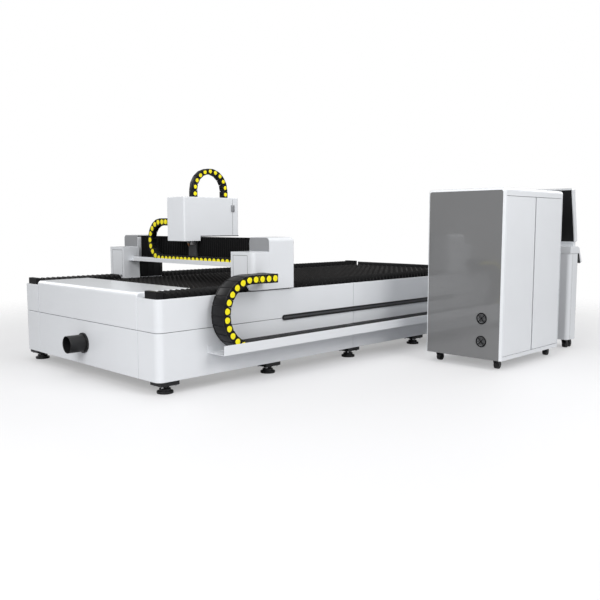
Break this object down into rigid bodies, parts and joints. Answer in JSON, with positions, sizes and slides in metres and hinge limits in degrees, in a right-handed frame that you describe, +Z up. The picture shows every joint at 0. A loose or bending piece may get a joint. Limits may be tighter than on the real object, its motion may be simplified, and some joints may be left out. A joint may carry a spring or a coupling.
{
  "type": "fiber laser cutting machine",
  "caption": "Flat-bed laser cutting machine with a slat table, a gantry running along the bed, a traversing cutting head, drag chains, a control cabinet and a console.",
  "frame": {"origin": "on the floor under the middle of the box round the whole set", "axes": "+X along the bed away from its exhaust end, +Y across the bed away from the cabinet, +Z up"},
  "size_m": [4.93, 3.6424, 1.8472],
  "materials": {
    "white_paint": "satin powder coat",
    "grey_gloss": "gloss enamel",
    "frame_paint": "dark grey paint",
    "black_steel": "satin black",
    "slat_steel": "mill scale",
    "rail_steel": "ground",
    "bellows_cloth": "coated cloth",
    "black_plastic": "moulded",
    "drive_black": "satin",
    "machined": "machined",
    "head_steel": "turned",
    "copper": "turned",
    "screen_glass": "gloss",
    "castor_metal": "black enamel",
    "castor_tread": "moulded",
    "red_plastic": "moulded"
  },
  "bodies": {
    "bed": {"base_frame": "frame_paint", "front_cover": "white_paint", "front_lower_panel": "white_paint", "right_upper_skins": "white_paint", "right_lower_skins": "white_paint", "left_skins": "white_paint", "rear_panel": "white_paint", "exhaust_spigot": "black_steel", "side_trim": "black_steel", "levelling_feet": "black_steel", "x_rails": "rail_steel", "rail_bellows_front": "bellows_cloth", "rail_bellows_rear": "bellows_cloth", "rail_end_caps": "black_plastic", "slat_frame": "slat_steel", "slats": "slat_steel", "x_chain_tray": "white_paint", "x_chain_lower": "black_plastic", "cabinet_shell": "white_paint", "cabinet_side_panels": "grey_gloss", "fan_grilles": "black_plastic", "laser_source": "machined", "console_body": "white_paint", "console_head": "white_paint", "console_screen": "screen_glass", "console_back_panel": "black_steel", "console_castors": "castor_tread"},
    "gantry": {"gantry_beam": "frame_paint", "right_end_housing": "white_paint", "left_end_housing": "white_paint", "right_motor_cover": "white_paint", "left_motor_cover": "white_paint", "x_drives": "drive_black", "beam_rails": "rail_steel", "beam_bellows": "bellows_cloth", "beam_tray": "white_paint", "y_chain_lower": "black_plastic", "x_chain_upper": "black_plastic"},
    "x_chain_turn": {"x_chain_bend": "black_plastic"},
    "y_chain_turn": {"y_chain_bend": "black_plastic"},
    "carriage": {"carriage_plate": "frame_paint", "lift_motor": "drive_black", "head_cover": "white_paint", "head_latch": "head_steel", "y_chain_upper": "black_plastic", "z_chain": "black_plastic"},
    "head": {"lift_slide": "machined", "cutting_head": "head_steel", "nozzle": "copper"},
    "left_door": {"left_door": "white_paint"},
    "right_door": {"right_door": "white_paint"},
    "estop": {"console_estop": "red_plastic"},
    "castor_1": {"castor_fork_1": "castor_metal"},
    "wheel_1": {"castor_wheel_1": "castor_tread"},
    "castor_2": {"castor_fork_2": "castor_metal"},
    "wheel_2": {"castor_wheel_2": "castor_tread"},
    "castor_3": {"castor_fork_3": "castor_metal"},
    "wheel_3": {"castor_wheel_3": "castor_tread"},
    "castor_4": {"castor_fork_4": "castor_metal"},
    "wheel_4": {"castor_wheel_4": "castor_tread"}
  },
  "joints": [
    {"name": "gantry_travel", "type": "slide", "parent": "bed", "child": "gantry", "axis": [1, 0, 0], "range_m": [-0.28, 2.72], "deforming": ["rail_bellows_front", "rail_bellows_rear", "x_chain_lower", "x_chain_upper"]},
    {"name": "x_chain_roll", "type": "slide", "parent": "bed", "child": "x_chain_turn", "axis": [1, 0, 0], "range_m": [-0.14, 1.36]},
    {"name": "head_traverse", "type": "slide", "parent": "gantry", "child": "carriage", "axis": [0, 1, 0], "range_m": [-0.7, 0.7], "deforming": ["beam_bellows", "y_chain_lower", "y_chain_upper"]},
    {"name": "y_chain_roll", "type": "slide", "parent": "gantry", "child": "y_chain_turn", "axis": [0, 1, 0], "range_m": [-0.35, 0.35]},
    {"name": "head_lift", "type": "slide", "parent": "carriage", "child": "head", "axis": [0, 0, 1], "range_m": [-0.29, 0], "deforming": ["z_chain"]},
    {"name": "left_door_hinge", "type": "hinge", "parent": "bed", "child": "left_door", "pos_m": [0.409, -1.80925, 0.8415], "axis": [0, 0, -1], "range_deg": [0, 90]},
    {"name": "right_door_hinge", "type": "hinge", "parent": "bed", "child": "right_door", "pos_m": [1.471, -1.80925, 0.8415], "axis": [0, 0, 1], "range_deg": [0, 90]},
    {"name": "estop_press", "type": "slide", "parent": "bed", "child": "estop", "axis": [-0.9062, 0, -0.4229], "range_m": [0, 0.004], "stiffness_N_per_m": 800, "springref_m": -0.002},
    {"name": "castor_swivel_1", "type": "hinge", "parent": "bed", "child": "castor_1", "pos_m": [0.46, -1.72625, 0.09], "axis": [0, 0, 1], "continuous": true},
    {"name": "wheel_spin_1", "type": "hinge", "parent": "castor_1", "child": "wheel_1", "pos_m": [0.482, -1.72625, 0.036], "axis": [0, 1, 0], "continuous": true},
    {"name": "castor_swivel_2", "type": "hinge", "parent": "bed", "child": "castor_2", "pos_m": [0.46, -1.11625, 0.09], "axis": [0, 0, 1], "continuous": true},
    {"name": "wheel_spin_2", "type": "hinge", "parent": "castor_2", "child": "wheel_2", "pos_m": [0.482, -1.11625, 0.036], "axis": [0, 1, 0], "continuous": true},
    {"name": "castor_swivel_3", "type": "hinge", "parent": "bed", "child": "castor_3", "pos_m": [1.42, -1.72625, 0.09], "axis": [0, 0, 1], "continuous": true},
    {"name": "wheel_spin_3", "type": "hinge", "parent": "castor_3", "child": "wheel_3", "pos_m": [1.442, -1.72625, 0.036], "axis": [0, 1, 0], "continuous": true},
    {"name": "castor_swivel_4", "type": "hinge", "parent": "bed", "child": "castor_4", "pos_m": [1.42, -1.11625, 0.09], "axis": [0, 0, 1], "continuous": true},
    {"name": "wheel_spin_4", "type": "hinge", "parent": "castor_4", "child": "wheel_4", "pos_m": [1.442, -1.11625, 0.036], "axis": [0, 1, 0], "continuous": true}
  ],
  "couplings": [
    {"joint": "x_chain_roll", "follows": "gantry_travel", "ratio": 0.5},
    {"joint": "y_chain_roll", "follows": "head_traverse", "ratio": 0.5}
  ]
}
